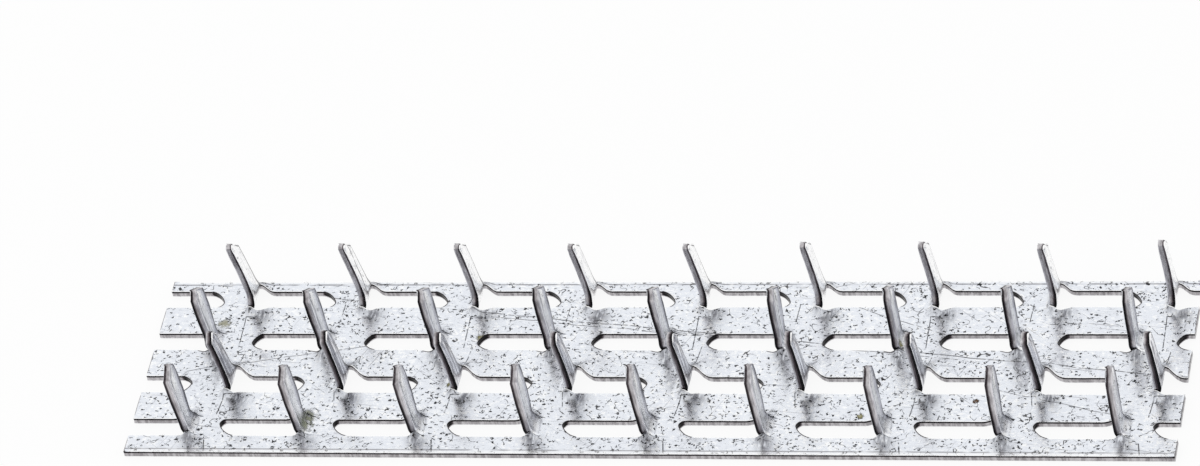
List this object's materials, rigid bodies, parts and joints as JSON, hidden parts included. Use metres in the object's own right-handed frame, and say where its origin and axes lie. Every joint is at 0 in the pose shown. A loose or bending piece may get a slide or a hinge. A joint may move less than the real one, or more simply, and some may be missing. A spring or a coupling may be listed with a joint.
{
  "type": "truss nail plate",
  "caption": "Rectangular galvanised steel plate with rows of slots, each slot's metal folded up as a pointed tooth, pressed across timber joints to hold them.",
  "frame": {"origin": "middle of the flat back, which lies on Z = 0", "axes": "+X along the plate's length, +Y across it, +Z out of the toothed side, along the teeth"},
  "size_m": [0.1142, 0.0254, 0.0101],
  "materials": {
    "galvanised_steel": "bright zinc coating with fine dark specks, light scratches and dull sheared edges"
  },
  "bodies": {
    "root": {"nail_plate": "galvanised_steel"}
  },
  "joints": []
}
